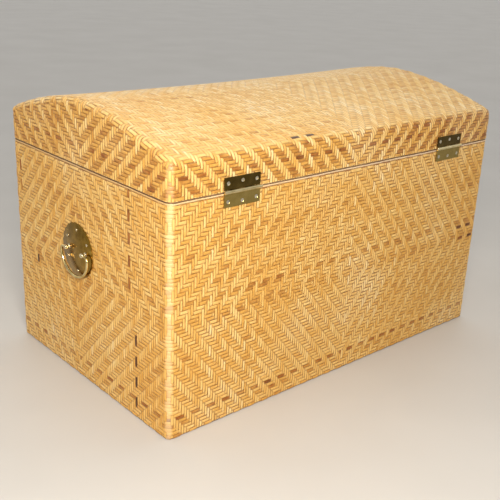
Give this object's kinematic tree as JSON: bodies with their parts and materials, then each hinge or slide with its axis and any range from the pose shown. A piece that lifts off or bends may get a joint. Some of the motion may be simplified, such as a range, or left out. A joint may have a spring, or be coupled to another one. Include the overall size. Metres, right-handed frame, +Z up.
{
  "type": "wicker storage trunk",
  "caption": "Barrel-lidded storage trunk of twill-woven rattan over a plywood box, with brass butt hinges, drop handles on both ends and a split front lock plate.",
  "frame": {"origin": "centre of the base, on the surface that the trunk stands on", "axes": "+Z up; +X along the trunk's length; +Y towards the hinged back, so the front closure faces -Y"},
  "size_m": [0.8662, 0.5395, 0.5355],
  "materials": {
    "rattan_weave": "satin",
    "rattan_binding": "satin",
    "plywood": "matte",
    "brass": "polished"
  },
  "bodies": {
    "body": {"body_back_board": "plywood", "body_front_board": "plywood", "body_left_board": "plywood", "body_right_board": "plywood", "body_rim_binding": "rattan_binding", "body_weave": "rattan_weave", "bottom_board": "plywood", "clasp_body_eye": "brass", "clasp_body_nail_1": "brass", "clasp_body_nail_2": "brass", "clasp_body_plate": "brass", "hinge_1_body_leaf": "brass", "hinge_1_body_screw_1": "brass", "hinge_1_body_screw_2": "brass", "hinge_1_body_screw_3": "brass", "hinge_1_pin": "brass", "hinge_2_body_leaf": "brass", "hinge_2_body_screw_1": "brass", "hinge_2_body_screw_2": "brass", "hinge_2_body_screw_3": "brass", "hinge_2_pin": "brass", "left_handle_back_post": "brass", "left_handle_front_post": "brass", "left_handle_nail_1": "brass", "left_handle_nail_2": "brass", "left_handle_nail_3": "brass", "left_handle_nail_4": "brass", "left_handle_nail_5": "brass", "left_handle_nail_6": "brass", "left_handle_plate": "brass", "right_handle_back_post": "brass", "right_handle_front_post": "brass", "right_handle_nail_1": "brass", "right_handle_nail_2": "brass", "right_handle_nail_3": "brass", "right_handle_nail_4": "brass", "right_handle_nail_5": "brass", "right_handle_nail_6": "brass", "right_handle_plate": "brass"},
    "lid": {"clasp_lid_eye": "brass", "clasp_lid_nail_1": "brass", "clasp_lid_nail_2": "brass", "clasp_lid_plate": "brass", "hinge_1_lid_leaf": "brass", "hinge_1_lid_screw_1": "brass", "hinge_1_lid_screw_2": "brass", "hinge_1_lid_screw_3": "brass", "hinge_2_lid_leaf": "brass", "hinge_2_lid_screw_1": "brass", "hinge_2_lid_screw_2": "brass", "hinge_2_lid_screw_3": "brass", "lid_back_rail": "plywood", "lid_front_rail": "plywood", "lid_left_end": "plywood", "lid_right_end": "plywood", "lid_top_board": "plywood", "lid_weave": "rattan_weave"},
    "right_bail": {"right_handle_bail": "brass"},
    "left_bail": {"left_handle_bail": "brass"}
  },
  "joints": [
    {"name": "lid_hinge", "type": "hinge", "parent": "body", "child": "lid", "pos_m": [0, 0.2633, 0.4195], "axis": [-1, 0, 0], "range_deg": [0, 180]},
    {"name": "right_handle_swing", "type": "hinge", "parent": "body", "child": "right_bail", "pos_m": [0.4285, -0.019, 0.2585], "axis": [0, -1, 0], "range_deg": [0, 174]},
    {"name": "left_handle_swing", "type": "hinge", "parent": "body", "child": "left_bail", "pos_m": [-0.4285, -0.019, 0.2585], "axis": [0, 1, 0], "range_deg": [0, 174]}
  ]
}
